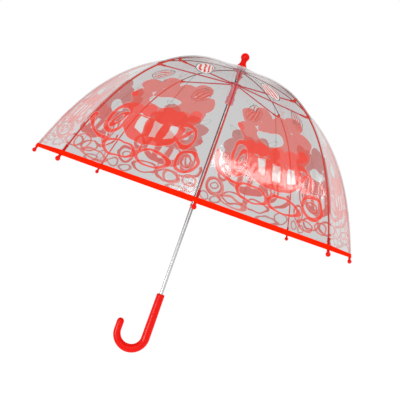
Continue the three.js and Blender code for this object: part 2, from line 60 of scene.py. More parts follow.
# Canopy: one cubic curve over a rib, from the apex to the hem
APEX_Z = 290.5
HEM_RADIUS = 337.0
HEM_Z = 8.0
APEX_HANDLE = 203.0
HEM_HANDLE = 157.0
HEM_ANGLE = math.radians(70)
HOLE_RADIUS = 5.6
SPLIT_RADIUS = 172.0  # each rib and its strip of film divide here
RIDGE_ROUND = 2.2  # how softly the film turns over a rib
GORE_DISH = 3.5  # how far a gore is drawn in between its ribs
BINDING_WIDTH = 7.8
BINDING_THICKNESS = 0.9
RIDGE_FADE = 30.0  # how far from a rib its ridge reaches
DISH_INWARD = 0.9  # of that pull's part towards the shaft; its part downwards is kept whole
DISH_SPREAD = 0.8  # below 1, more of the gore's length is drawn in
HALF_GORE_STEPS = 26  # film faces between a rib and the middle of a gore
STEP_CROWDING = 1.25  # above 1, these steps are shorter near the rib
UPPER_ROWS = 26
LOWER_ROWS = 44
BINDING_CORNER = 3.0  # length over which the tape turns from one gore to the next

# Ribs, clips, stretchers and tips
RIB_INSET = 3.4
RIB_RADIUS = 1.5
WIRE_RADIUS = 0.95  # of the rib inside its clip
CLIP_RADIUS = 162.0
CLIP_DROP = 4.5
CLIP_HALF_LENGTH = 3.0
CLIP_SIDES = (-2.1, 1.7)
CLIP_CHEEK = 1.6  # of the clip above the rib's axis, and below its rivet
STRETCHER_RADIUS = 1.25
STRETCHER_SHIFT = 4.0
SLEEVE_RADIUS = 1.9
SLEEVE_LENGTH = 15.0
SLEEVE_OVERHANG = 0.8  # past the end of the stretcher's axis
STRETCHER_START = 4.0  # of the rod, out from the runner's wire
EYE_RADIUS = 1.6
EYE_HALF_WIDTH = 0.8
EYE_HALF_HEIGHT = 1.3
RIB_EYE_LENGTH = 8.0  # out from the crown's wire
STRETCHER_EYE_LENGTH = 7.0  # out from the runner's wire
ROD_START_RADIUS = 14.0  # the rib's rod starts just inside this, within its flat eye
ROD_OVERLAP = 2.0  # how far inside
ROD_MEETING = 0.2  # the rib's two rods meet this far above the film's split
TIP_BALL_RADIUS = 4.3
TIP_SLEEVE_RADIUS = 2.4
TIP_SLEEVE_LENGTH = 28.0

# Shaft, crown and runner
SHAFT_RADIUS = 4.0
SHAFT_WALL = 0.7
SHAFT_TOP_Z = 305.0
SHAFT_BOTTOM_Z = -252.0
CROWN_WIRE = (7.5, 287.3)
RUNNER_WIRE = (9.3, 258.0)
NOTCH_WIDTH = 2.3
GROOVE_HALF_WIDTH = 0.9
SLOT_HALF_WIDTH = 0.95
SLOT_LENGTH = 19.6
SLOT_LOWS = (196.3, -38.9)  # of the catches' slots: runner open, runner closed

# Ferrule
FERRULE_BALL_RADIUS = 8.7
FERRULE_BALL_Z = 317.2

# Handle
HANDLE_TOP_Z = -188.3
GRIP_LENGTH = 94.4
CROOK_RADIUS = 29.3
END_RISE = 16.5
HANDLE_RADII = (8.2, 8.75, 7.3)  # at the top, the bend and the end

SHARP_DEGREES = 35  # an edge that turns by more than this is sharp


# ---------------------------------------------------------------- meshes

def make_mesh(name, points, faces, material, azimuth=0.0, smooth=True, uvs=None):
    """A mesh object from points in the canopy frame; uvs is one pair per face corner."""
    c, s = math.cos(azimuth), math.sin(azimuth)
    points = np.asarray(points, float)
    placed = np.column_stack(
        (
            points[:, 0] * c - points[:, 1] * s,
            points[:, 0] * s + points[:, 1] * c,
            points[:, 2] + TIP_PLANE_Z,
        )
    )
    mesh = bpy.data.meshes.new(name)
    mesh.from_pydata((placed * MM).tolist(), [], faces)
    if uvs is not None:
        layer = mesh.uv_layers.new(name="gore")
        layer.data.foreach_set("uv", np.asarray(uvs, np.float32).ravel())
    mesh.polygons.foreach_set("use_smooth", [smooth] * len(mesh.polygons))
    mesh.materials.append(material)
    mesh.validate()
    piece = bpy.data.objects.new(name, mesh)
    bpy.context.scene.collection.objects.link(piece)
    return piece


def ring_faces(rings, sides):
    """Quads between rings of points laid one after another."""
    faces = []
    for ring in range(rings - 1):
        for side in range(sides):
            a = ring * sides + side
            b = ring * sides + (side + 1) % sides
            faces.append((a, b, b + sides, a + sides))
    return faces


def revolve(name, profile, material, segments=48, place=None, azimuth=0.0):
    """A turned piece from [(radius, height)]; a radius of 0 closes an end. place moves its points."""
    points, rings = [], []
    for radius, height in profile:
        if radius < 1e-6:
            rings.append([len(points)])
            points.append((0.0, 0.0, height))
            continue
        rings.append(list(range(len(points), len(points) + segments)))
        for k in range(segments):
            angle = 2 * math.pi * k / segments
            points.append((radius * math.cos(angle), radius * math.sin(angle), height))
    faces = []
    for low, high in zip(rings, rings[1:]):
        for k in range(segments):
            following = (k + 1) % segments
            if len(low) == 1 and len(high) > 1:
                faces.append((low[0], high[following], high[k]))
            elif len(high) == 1 and len(low) > 1:
                faces.append((low[k], low[following], high[0]))
            elif len(low) > 1 and len(high) > 1:
                faces.append((low[k], low[following], high[following], high[k]))
    points = np.array(points)
    if place is not None:
        points = place(points)
    return make_mesh(name, points, faces, material, azimuth)


def arc(centre, radius, start, end, steps):
    """Points of an arc as [(radius, height)], angles in degrees from the outward direction."""
    angles = np.radians(np.linspace(start, end, steps + 1))
    return [(centre[0] + radius * math.cos(a), centre[1] + radius * math.sin(a)) for a in angles]


def sweep(name, centres, radii, material, sides=14, azimuth=0.0):
    """A round rod along points, with rounded ends."""
    centres = np.asarray(centres, float)
    radii = np.broadcast_to(np.asarray(radii, float), (len(centres),))
    along = np.gradient(centres, axis=0)
    along /= np.linalg.norm(along, axis=1)[:, None]
    across = np.array((0.0, 1.0, 0.0))
    points = []
    for centre, radius, forward in zip(centres, radii, along):
        side = across - forward * (across @ forward)
        side /= np.linalg.norm(side)
        up = np.cross(forward, side)
        for k in range(sides):
            angle = 2 * math.pi * k / sides
            points.append(centre + radius * (math.cos(angle) * side + math.sin(angle) * up))
    faces = ring_faces(len(centres), sides)
    last = len(points) - sides
    faces.append(tuple(reversed(range(sides))))
    faces.append(tuple(range(last, last + sides)))
    return make_mesh(name, points, faces, material, azimuth)


def rounded_ends(centres, radius, steps=3):
    """Centres and radii of a rod whose two ends are rounded."""
    centres = np.asarray(centres, float)
    first = (centres[1] - centres[0]) / np.linalg.norm(centres[1] - centres[0])
    last = (centres[-1] - centres[-2]) / np.linalg.norm(centres[-1] - centres[-2])
    angles = np.linspace(math.pi / 2, 0.25, steps)
    head = [centres[0] + first * radius * (1 - math.sin(a)) for a in angles]
    tail = [centres[-1] - last * radius * (1 - math.sin(a)) for a in reversed(angles)]
    thin = [max(0.2, math.cos(a)) * radius for a in angles]
    middle = centres[1:-1]
    radii = thin + [radius] * len(middle) + thin[::-1]
    return np.array(head + list(middle) + tail), radii


def cut(piece, *cutters):
    """Takes the cutters out of a piece, exactly, and removes them."""
    for cutter in cutters:
        modifier = piece.modifiers.new("cut", "BOOLEAN")
        modifier.object, modifier.operation, modifier.solver = cutter, "DIFFERENCE", "EXACT"
    bpy.context.view_layer.update()
    evaluated = piece.evaluated_get(bpy.context.evaluated_depsgraph_get())
    mesh = bpy.data.meshes.new_from_object(evaluated)
    piece.modifiers.clear()
    piece.data = mesh
    for cutter in cutters:
        bpy.data.objects.remove(cutter)
    return piece


def sharpen(piece, degrees=SHARP_DEGREES):
    """Smooth faces, with an edge kept sharp where the surface turns by more than an angle."""
    piece.data.polygons.foreach_set("use_smooth", [True] * len(piece.data.polygons))
    piece.data.set_sharp_from_angle(angle=math.radians(degrees))
    return piece


def bevelled(piece, width, segments=3):
    """Rounds a piece's sharp edges."""
    modifier = piece.modifiers.new("round", "BEVEL")
    modifier.width, modifier.segments = width * MM, segments
    modifier.limit_method, modifier.angle_limit = "ANGLE", math.radians(SHARP_DEGREES)
    modifier.harden_normals = False
    return piece


def block(name, low, high, material, place=None, azimuth=0.0):
    """A box between two corners. place moves its points."""
    corners = [(x, y, z) for x in (low[0], high[0]) for y in (low[1], high[1]) for z in (low[2], high[2])]
    faces = [(0, 1, 3, 2), (4, 6, 7, 5), (0, 4, 5, 1), (2, 3, 7, 6), (0, 2, 6, 4), (1, 5, 7, 3)]
    points = np.array(corners, float)
    if place is not None:
        points = place(points)
    return make_mesh(name, points, faces, material, azimuth, smooth=False)


# ---------------------------------------------------------------- the canopy's outline

OUTLINE = np.array(
    [
        (0.0, APEX_Z),
        (APEX_HANDLE, APEX_Z),
        (HEM_RADIUS - HEM_HANDLE * math.cos(HEM_ANGLE), HEM_Z + HEM_HANDLE * math.sin(HEM_ANGLE)),
        (HEM_RADIUS, HEM_Z),
    ]
)


def outline(t):
    """Points [radius, height] of the film over a rib at parameters t."""
    t = np.atleast_1d(t)[:, None]
    a, b, c, d = OUTLINE
    return (1 - t) ** 3 * a + 3 * (1 - t) ** 2 * t * b + 3 * (1 - t) * t**2 * c + t**3 * d


def outline_slope(t):
    """Unit directions along the outline, from the apex to the hem."""
    t = np.atleast_1d(t)[:, None]
    a, b, c, d = OUTLINE
    slope = (1 - t) ** 2 * (b - a) + 2 * (1 - t) * t * (c - b) + t**2 * (d - c)
    return slope / np.linalg.norm(slope, axis=1)[:, None]


FINE_T = np.linspace(0, 1, 1001)
FINE_OUTLINE = outline(FINE_T)
FINE_LENGTH = np.concatenate(
    ([0.0], np.cumsum(np.linalg.norm(np.diff(FINE_OUTLINE, axis=0), axis=1)))
)
OUTLINE_LENGTH = FINE_LENGTH[-1]


def length_at(radius):
    """Distance along the outline from the apex to a radius."""
    return float(np.interp(radius, FINE_OUTLINE[:, 0], FINE_LENGTH))


def inside(lengths, inset):
    """Points [radius, height] a little inside the outline, at distances from the apex."""
    t = np.interp(lengths, FINE_LENGTH, FINE_T)
    slope = outline_slope(t)
    return outline(t) + inset * np.column_stack((slope[:, 1], -slope[:, 0]))


def rib_line(start, end, step=8.0):
    """Points of the rib's axis between two distances from the apex."""
    lengths = np.linspace(start, end, max(3, int((end - start) / step)))
    line = inside(lengths, RIB_INSET)
    return np.column_stack((line[:, 0], np.zeros(len(line)), line[:, 1]))


SPLIT = length_at(SPLIT_RADIUS)
CLIP = length_at(CLIP_RADIUS)
STRETCHER_END = inside([CLIP], RIB_INSET + CLIP_DROP)[0]
HEM_DIRECTION = np.array((math.cos(HEM_ANGLE), 0.0, -math.sin(HEM_ANGLE)))
RIB_END = rib_line(OUTLINE_LENGTH - 1, OUTLINE_LENGTH)[-1]
TIP_CENTRE = RIB_END + HEM_DIRECTION * RIB_END[2] / math.sin(HEM_ANGLE)


# ---------------------------------------------------------------- shader building

class Tree:
    """A material's nodes, with short ways to add and link them."""

    def __init__(self, name):
        self.material = bpy.data.materials.new(name)
        self.material.use_nodes = True
        self.nodes = self.material.node_tree.nodes
        self.nodes.clear()
        self.out = self.nodes.new("ShaderNodeOutputMaterial")

    def node(self, kind, inputs=None, **settings):
        made = self.nodes.new("ShaderNode" + kind)
        for key, value in settings.items():
            setattr(made, key, value)
        for key, value in (inputs or {}).items():
            self.feed(made.inputs[key], value)
        return made

    def feed(self, socket, value):
        if isinstance(value, Number):
            value = value.socket
        if isinstance(value, bpy.types.NodeSocket):
            self.material.node_tree.links.new(value, socket)
        else:
            socket.default_value = value

    def maths(self, operation, *values):
        made = self.nodes.new("ShaderNodeMath")
        made.operation = operation
        for socket, value in zip(made.inputs, values):
            self.feed(socket, value)
        return Number(self, made.outputs[0])

    def show(self, shader):
        self.material.node_tree.links.new(shader, self.out.inputs["Surface"])
        return self.material


class Number:
    """A number in a shader, so that a pattern is written as a formula."""

    def __init__(self, tree, socket):
        self.tree, self.socket = tree, socket

    def __add__(self, other):
        return self.tree.maths("ADD", self, other)

    def __sub__(self, other):
        return self.tree.maths("SUBTRACT", self, other)

    def __mul__(self, other):
        return self.tree.maths("MULTIPLY", self, other)

    def __abs__(self):
        return self.tree.maths("ABSOLUTE", self)

    def least(self, other):
        return self.tree.maths("MINIMUM", self, other)

    def most(self, other):
        return self.tree.maths("MAXIMUM", self, other)


def mix_colour(tree, share, first, second):
    made = tree.node("Mix", data_type="RGBA")
    tree.feed(made.inputs[0], share)
    tree.feed(made.inputs[6], first)
    tree.feed(made.inputs[7], second)
    return made.outputs[2]


def noise(tree, scale, detail=2.0, stretch=(1, 1, 1)):
    """Noise by place on the object, in features per metre, as a number."""
    place = tree.node("TexCoord").outputs["Object"]
    mapping = tree.node("Mapping", {"Vector": place, "Scale": stretch})
    texture = tree.node(
        "TexNoise", {"Vector": mapping.outputs[0], "Scale": scale, "Detail": detail}
    )
    return Number(tree, texture.outputs[0])


def varied(pattern, middle, spread):
    """A value that drifts about a middle, by a pattern from 0 to 1."""
    return pattern * spread + (middle - spread / 2)


def bump(tree, height, depth, strength):
    """Normals of a fine relief, with its depth in millimetres."""
    made = tree.node("Bump", {"Height": height, "Distance": depth * MM, "Strength": strength})
    return made.outputs[0]


# ---------------------------------------------------------------- materials

def plastic_material(name, colour, deep, roughness, specular):
    """Glossy moulded plastic: a slight drift of colour, soft scuffs and a faint orange peel."""
    tree = Tree(name)
    tint = mix_colour(tree, noise(tree, 40), (*deep, 1), (*colour, 1))
    scuff = varied(noise(tree, 300, 4), roughness, 0.16)
    peel = bump(tree, noise(tree, 500, 1), 0.03, 0.4)
    shader = tree.node(
        "BsdfPrincipled",
        {
            "Base Color": tint,
            "Roughness": scuff,
            "Normal": peel,
            "Specular IOR Level": specular,
        },
    )
    return tree.show(shader.outputs[0])


def rod_material(name, colour, deep):
    """Baked enamel on thin steel rod, worn a little darker in streaks."""
    tree = Tree(name)
    streaks = noise(tree, 120, 3)
    tint = mix_colour(tree, streaks, (*deep, 1), (*colour, 1))
    rough = varied(noise(tree, 600, 3), 0.35, 0.2)
    shader = tree.node(
        "BsdfPrincipled",
        {
            "Base Color": tint,
            "Roughness": rough,
            "Normal": bump(tree, noise(tree, 1500, 1), 0.04, 0.5),
            "Specular IOR Level": 0.3,
        },
    )
    return tree.show(shader.outputs[0])


def steel_material(name, colour, roughness, stretch):
    """Plated steel with fine drawing marks along its length."""
    tree = Tree(name)
    marks = noise(tree, 700, 3, stretch)
    rough = varied(marks, roughness, 0.1)
    tint = mix_colour(tree, noise(tree, 25), (*[0.86 * v for v in colour], 1), (*colour, 1))
    shader = tree.node(
        "BsdfPrincipled",
        {
            "Base Color": tint,
            "Metallic": 1.0,
            "Roughness": rough,
            "Normal": bump(tree, marks, 0.01, 0.4),
        },
    )
    return tree.show(shader.outputs[0])


def gore_coordinates(tree):
    """(across, down): millimetres from a gore's centre line, and from the apex along it."""
    uv = tree.node("UVMap", uv_map="gore")
    split = tree.node("SeparateXYZ", {"Vector": uv.outputs[0]})
    return Number(tree, split.outputs[0]), Number(tree, split.outputs[1])


STITCH_PITCH = 3.6
STITCH_HEIGHT = 6.4  # of the row of stitches above the hem's edge
STITCH_FADE = 2.2  # how fast a stitch ends at its sides, per millimetre
PUCKER_DEPTH = 0.5
STITCH_DEPTH = -1.5


def binding_material():
    """Vinyl tape folded over the hem, with one row of stitches and puckers along them."""
    tree = Tree("red_binding")
    across, down = gore_coordinates(tree)
    row = abs(down - (OUTLINE_LENGTH - STITCH_HEIGHT)) * STITCH_FADE
    dashes = tree.maths("SINE", across * (2 * math.pi / STITCH_PITCH))
    stitch = (dashes * 1.5).least(1.0).most(0.0) * (row * -1.0 + 1.0).most(0.0)
    pucker = dashes * 0.3 + noise(tree, 260)
    tint = mix_colour(tree, noise(tree, 90), (0.92, 0.012, 0.001, 1), (1.0, 0.02, 0.002, 1))
    tint = mix_colour(tree, stitch, tint, (0.62, 0.005, 0.001, 1))
    relief = pucker * PUCKER_DEPTH + stitch * STITCH_DEPTH
    shader = tree.node(
        "BsdfPrincipled",
        {
            "Base Color": tint,
            "Roughness": varied(noise(tree, 500, 3), 0.4, 0.2),
            "Normal": bump(tree, relief, 0.25, 0.6),
            "Specular IOR Level": 0.0,
        },
    )
    return tree.show(shader.outputs[0])


INK_EDGE = 1.3  # width of the ink's soft edge
WOBBLE = 9.0  # how far a drawn line wanders, at most
STRIPE_WIDTH = 15.0  # of the basket's stripes
LIGHT_INK = (0.70, 0.105, 0.08, 1)
STRONG_INK = (0.86, 0.052, 0.028, 1)
PALE_INK = (0.95, 0.80, 0.76, 1)
WHITE_INK = (0.92, 0.92, 0.91, 1)
GREY_INK = (0.07, 0.11, 0.10, 1)

FILM_TINT = (0.79, 0.785, 0.785, 1)
FILM_ROUGHNESS = 0.13
FACING_GLOSS = 0.06  # share of the light that the film mirrors face on
GRAZING_GLOSS = 0.9  # and how much more at a grazing angle
TAUT_LENGTH = 60  # the film's waves die down over this length
TAUT_HEIGHT = 20  # down to this far above the hem
TAUT_SHARE = 0.15  # of the waves that is left at the hem


def inked(distance):
    """1 inside a shape and 0 outside, from the distance to its outline."""
    return (distance * (-1 / INK_EDGE) + 0.5).least(1.0).most(0.0)


class Print:
    """Shapes of the print in gore coordinates, as distances to their outlines."""

    def __init__(self, tree):
        self.tree = tree
        self.across, self.down = [
            place + (noise(tree, 45, 0, (1, 1, 1 + 0.3 * k)) - 0.5) * WOBBLE
            for k, place in enumerate(gore_coordinates(tree))
        ]

    def oval(self, x, y, half_x, half_y, turn=0.0):
        c, s = math.cos(turn), math.sin(turn)
        dx, dy = self.across - x, self.down - y
        along = (dx * c + dy * s) * (1 / half_x)
        beside = (dy * c - dx * s) * (1 / half_y)
        size = self.tree.maths("SQRT", along * along + beside * beside)
        return (size - 1.0) * min(half_x, half_y)

    def circle(self, x, y, radius):
        return self.oval(x, y, radius, radius)

    def ring(self, distance, width):
        return abs(distance) - width / 2

    def band(self, x, y, half_x, half_y):
        return (abs(self.across - x) - half_x).most(abs(self.down - y) - half_y)

    def join(self, distances):
        joined = distances[0]
        for distance in distances[1:]:
            joined = joined.least(distance)
        return joined


def print_layers(pattern):
    """The print, bottom layer first, as (distance, colour, cover).

    Shapes are placed in millimetres: ovals as x, y, half x, half y and turn, circles as x, y and radius.
    A scalloped cloud with an oval window stands over a basket with broad stripes, between a wheel, a
    curl and a hoop. Pebbles line the hem, and a striped leaf stands alone near the apex.
    """
    across, down = pattern.across, pattern.down
    puffs = [
        (-54, 318, 19), (-50, 287, 19), (-25, 269, 18), (9, 277, 19), (37, 266, 19), (53, 300, 22),
        (51, 329, 22), (22, 338, 20), (-12, 340, 18), (-43, 337, 20), (2, 306, 38),
    ]
    cloud = pattern.join([pattern.circle(*puff) for puff in puffs])
    window = pattern.oval(-6, 316, 25, 13, -0.3).least(pattern.oval(-25, 319, 13, 9))
    cloud = cloud.most(window * -1.0)

    folds = [(-48, 348, 12), (-26, 344, 14), (6, 345, 19), (34, 342, 17), (55, 330, 13), (-70, 318, 7)]
    cushion = pattern.join([pattern.circle(*fold) for fold in folds]).most(window * -1.0)

    basket = pattern.oval(3, 352, 62, 43).most(down * -1.0 + 359).most(abs(across - 3) - 50)
    stripes = pattern.tree.maths("PINGPONG", across + 310, STRIPE_WIDTH) - STRIPE_WIDTH / 2
    striped = basket.most(stripes)
    rim = pattern.ring(basket, 3)
    base = pattern.oval(-2, 381, 54, 30).most(pattern.oval(3, 352, 64, 42) * -1.0)
    ties = pattern.ring(pattern.oval(60, 371, 14, 22, -0.35), 6)
    ties = ties.least(pattern.oval(59, 371, 4, 16, 0.5))
    wheel = pattern.ring(pattern.oval(-66, 376, 15, 30, 0.12), 6)
    wheel = wheel.least(pattern.ring(pattern.oval(-65, 377, 6, 16, 0.4), 4))
    curl = pattern.ring(pattern.oval(-72, 396, 37, 25, 0.2), 6.5).most(across - down + 482)
    strap = pattern.band(-2, 412, 1.6, 16)
    hoop = pattern.ring(pattern.circle(83, 416, 19), 7)
    stones = [pattern.ring(pattern.oval(x, 431, 30, 14, 0.06), 4.5) for x in (-36, 27)]
    strong = pattern.join([cushion, striped, rim, base, ties, wheel, curl, strap, hoop, *stones])

    pebbles = [
        (-102, 441, 14, 13, 0.0), (-70, 456, 25, 8, 0.1), (72, 450, 14, 8, 0.2), (104, 446, 12, 10, 0.0),
        (83, 416, 10, 8, 0.6),
    ]
    outlines = [pattern.ring(pattern.oval(*pebble), 4) for pebble in pebbles]
    light = pattern.join([cloud, *outlines])

    leaf = pattern.oval(0, 184, 18, 28, -0.45).most(pattern.oval(6, 182, 26, 27, 0.0))
    veins = pattern.tree.maths("PINGPONG", across * 0.9 - down * 0.4 + 300, 4.0) - 1.9
    sprigs = [pattern.oval(-50, 260, 13, 6, 0.7), pattern.oval(48, 250, 13, 6, -0.7)]
    fine = pattern.join([pattern.ring(sprig, 0.8) for sprig in sprigs])
    return [
        (light, LIGHT_INK, 0.74),
        (basket, PALE_INK, 0.35),
        (strong, STRONG_INK, 0.84),
        (leaf, WHITE_INK, 0.85),
        ((leaf + 3.0).most(veins), STRONG_INK, 0.85),
        (pattern.ring(leaf, 2.2).least(fine), GREY_INK, 0.75),
    ]


def film_material():
    """Clear soft PVC, slightly grey and wavy, with a screen print in a few inks."""
    tree = Tree("clear_film")
    pattern = Print(tree)
    slack = pattern.down * (-1 / TAUT_LENGTH) + (OUTLINE_LENGTH - TAUT_HEIGHT) / TAUT_LENGTH
    slack = slack.least(1.0).most(TAUT_SHARE)
    wave = noise(tree, 26, 1, (1, 1, 0.6))
    crinkle = noise(tree, 130, 1, (1, 1, 0.4))
    normal = bump(tree, (wave + crinkle * 0.25) * slack, 3.5, 0.4)

    tint, cover = WHITE_INK, Number(tree, tree.node("Value").outputs[0])
    for distance, colour, amount in print_layers(pattern):
        share = inked(distance)
        tint = mix_colour(tree, share, tint, colour)
        cover = cover + share * (cover * -1.0 + amount)
    mottle = varied(noise(tree, 60, 3), 1.0, 0.2)
    tint = tree.node("HueSaturation", {"Color": tint, "Value": mottle}).outputs[0]
    ink = tree.node(
        "BsdfPrincipled",
        {"Base Color": tint, "Roughness": 0.5, "Specular IOR Level": 0.0},
    )
    clear = tree.node("BsdfTransparent", {"Color": FILM_TINT})
    layer = tree.node("MixShader", {0: cover, 1: clear.outputs[0], 2: ink.outputs[0]})

    gloss = tree.node(
        "BsdfGlossy", {"Color": (1, 1, 1, 1), "Roughness": FILM_ROUGHNESS, "Normal": normal}
    )
    facing = tree.node("LayerWeight", {"Blend": 0.5, "Normal": normal}).outputs["Facing"]
    share = tree.maths("POWER", facing, 5.0) * GRAZING_GLOSS + FACING_GLOSS
    film = tree.node("MixShader", {0: share, 1: layer.outputs[0], 2: gloss.outputs[0]})
    return tree.show(film.outputs[0])


RED = plastic_material("red_plastic", (0.90, 0.006, 0.001), (0.78, 0.004, 0.001), 0.27, 0.12)
HUB_PLASTIC = plastic_material("hub_plastic", (0.94, 0.36, 0.41), (0.88, 0.28, 0.33), 0.25, 0.5)
RIB_PAINT = rod_material("rib_paint", (1.0, 0.085, 0.06), (0.90, 0.06, 0.04))
STRETCHER_PAINT = rod_material("stretcher_paint", (0.88, 0.13, 0.15), (0.76, 0.10, 0.12))
WIRE_PAINT = rod_material("wire_paint", (0.50, 0.13, 0.13), (0.36, 0.10, 0.10))
CHROME = steel_material("shaft_steel", (0.62, 0.61, 0.61), 0.2, (1, 1, 0.03))
SPRING = steel_material("spring_steel", (0.62, 0.62, 0.64), 0.32, (1, 1, 1))
BINDING = binding_material()
FILM = film_material()


# ---------------------------------------------------------------- camera and studio

CAMERA_PLACE = Vector((-0.0095, -1.352, TIP_PLANE_Z * MM + 0.003))  # about level with the rib tips
CAMERA_LENS = 60.5
CAMERA_SENSOR = 36.0
CAMERA_ROLL = math.radians(19.57)
AIM = Vector((0.0104, 0.0, TIP_PLANE_Z * MM + 0.0160))

# Strength of the surroundings by direction: Y where a ramp starts and ends, strength there
AS_LIGHT = (0.35, -0.9, 0.8, 1.2)
MIRRORED_BACK = (0.6, 0.9, 0.04, 0.8)  # behind the object
MIRRORED_FRONT = (-0.35, -0.85, 0.0, 0.25)  # in front of it, added to the last
FLOOR_HALF = 30000.0
FLOOR_Z = -857.0  # below the plane of the rib tips
FLOOR_GLOW = 1.1
FLOOR_GLOW_SHARE = 0.85  # the rest is lit like paper


def add_camera():
    data = bpy.data.cameras.new("camera")
    data.lens, data.sensor_width = CAMERA_LENS, CAMERA_SENSOR
    data.clip_end = 50.0
    camera = bpy.data.objects.new("camera", data)
    bpy.context.scene.collection.objects.link(camera)
    camera.location = CAMERA_PLACE
    towards = (AIM - camera.location).to_track_quat("-Z", "Y")
    camera.rotation_mode = "QUATERNION"
    camera.rotation_quaternion = towards @ Matrix.Rotation(CAMERA_ROLL, 3, "Z").to_quaternion()
    bpy.context.scene.camera = camera


def add_softbox(name, azimuth, elevation, distance, size, power, target, soft=True):
    """An area light seen from the object at an azimuth, 0 towards the camera and 90 to its right.

    One that is not soft shows only in glossy reflections.
    """
    a, e = math.radians(azimuth), math.radians(elevation)
    away = Vector((math.sin(a) * math.cos(e), -math.cos(a) * math.cos(e), math.sin(e)))
    data = bpy.data.lights.new(name, "AREA")
    data.shape, data.size, data.size_y = "RECTANGLE", size[0], size[1]
    data.energy = power
    light = bpy.data.objects.new(name, data)
    bpy.context.scene.collection.objects.link(light)
    light.visible_diffuse = soft
    light.location = Vector(target) + away * distance
    light.rotation_mode = "QUATERNION"
    light.rotation_quaternion = away.to_track_quat("Z", "Y")


def world_ramp(nodes, links, source, limits):
    """A smooth ramp of strength over one coordinate of the direction."""
    ramp = nodes.new("ShaderNodeMapRange")
    ramp.interpolation_type = "SMOOTHSTEP"
    for name, value in zip(("From Min", "From Max", "To Min", "To Max"), limits):
        ramp.inputs[name].default_value = value
    links.new(source, ramp.inputs["Value"])
    return ramp.outputs[0]


def add_world():
    """White to the camera, a soft light from all round, and dark at the sides in reflections."""
    world = bpy.data.worlds.new("studio")
    bpy.context.scene.world = world
    world.use_nodes = True
    nodes, links = world.node_tree.nodes, world.node_tree.links
    nodes.clear()
    seen = nodes.new("ShaderNodeBackground")
    seen.inputs["Color"].default_value = (1, 1, 1, 1)
    place = nodes.new("ShaderNodeTexCoord")
    split = nodes.new("ShaderNodeSeparateXYZ")
    links.new(place.outputs["Generated"], split.inputs[0])
    mirrored = nodes.new("ShaderNodeMath")
    for socket, limits in zip(mirrored.inputs, (MIRRORED_BACK, MIRRORED_FRONT)):
        links.new(world_ramp(nodes, links, split.outputs["Y"], limits), socket)
    path = nodes.new("ShaderNodeLightPath")
    strength = nodes.new("ShaderNodeMix")
    links.new(path.outputs["Is Glossy Ray"], strength.inputs[0])
    links.new(world_ramp(nodes, links, split.outputs["Y"], AS_LIGHT), strength.inputs[2])
    links.new(mirrored.outputs[0], strength.inputs[3])
    lit = nodes.new("ShaderNodeBackground")
    lit.inputs["Color"].default_value = (1, 1, 1, 1)
    links.new(strength.outputs[0], lit.inputs["Strength"])
    mix = nodes.new("ShaderNodeMixShader")
    links.new(path.outputs["Is Camera Ray"], mix.inputs[0])
    links.new(lit.outputs[0], mix.inputs[1])
    links.new(seen.outputs[0], mix.inputs[2])
    links.new(mix.outputs[0], nodes.new("ShaderNodeOutputWorld").inputs[0])


def add_lights():
    """Two softboxes for the film's highlights, and three strips that show only in reflections."""
    add_softbox("softbox_right", 60, 46, 1.5, (0.40, 0.15), 1.6, (0.09, -0.28, 0.31))
    add_softbox("softbox_left", -56, 37, 1.6, (0.16, 0.08), 0.35, (0.012, -0.435, 0.248))
    add_softbox("strip_grip", -40, 0, 1.6, (0.50, 0.34), 18.0, (0.0, 0.0, -0.43), soft=False)
    add_softbox("strip_shaft", -12, 0, 1.6, (1.4, 0.46), 6.5, (0.0, 0.0, 0.48), soft=False)
    add_softbox("strip_low", -12, 0, 1.6, (0.5, 0.40), 0.5, (0.0, 0.0, 0.03), soft=False)


def add_floor():
    """A pale floor well below the umbrella."""
    tree = Tree("floor_white")
    tint = mix_colour(tree, noise(tree, 2), (0.90, 0.90, 0.90, 1), (0.92, 0.92, 0.92, 1))
    matt = tree.node("BsdfDiffuse", {"Color": tint})
    glow = tree.node("Emission", {"Color": (1, 1, 1, 1), "Strength": FLOOR_GLOW})
    both = tree.node("MixShader", {0: FLOOR_GLOW_SHARE, 1: matt.outputs[0], 2: glow.outputs[0]})
    paper = tree.show(both.outputs[0])
    half = FLOOR_HALF
    corners = [(x, y, FLOOR_Z) for x, y in ((-half, -half), (half, -half), (half, half), (-half, half))]
    floor = make_mesh("floor", corners, [(0, 1, 2, 3)], paper)


add_camera()
add_world()
add_lights()
add_floor()
view = bpy.context.scene.view_settings
view.view_transform, view.look = "Standard", "None"


# ---------------------------------------------------------------- the canopy

def gore_row(length):
    """Across one strip at a distance from the apex: points, and gore coordinates of each half."""
    radius, height = inside([length], 0.0)[0]
    slope = outline_slope(np.interp(length, FINE_LENGTH, FINE_T))[0]
    half_gore = radius * math.sin(HALF_PITCH)
    share = np.linspace(-1, 1, 2 * HALF_GORE_STEPS + 1)
    share = np.sign(share) * np.abs(share) ** STEP_CROWDING
    off = np.abs(share) * half_gore
    turned = np.sqrt(off**2 + RIDGE_ROUND**2) - RIDGE_ROUND * np.exp(-off / RIDGE_FADE)
    x = radius - math.sin(HALF_PITCH) * turned
    y = np.sign(share) * math.cos(HALF_PITCH) * off
    z = np.full_like(x, height)
    # Drawn in between the ribs, most at the middle of the gore and half way down it.
    depth = GORE_DISH * math.sin(math.pi * min(1.0, length / OUTLINE_LENGTH)) ** DISH_SPREAD
    pull = depth * np.abs(share) * (2 - np.abs(share))
    x, z = x + slope[1] * pull * DISH_INWARD, z - slope[0] * pull
    return np.column_stack((x, y, z)), off, half_gore


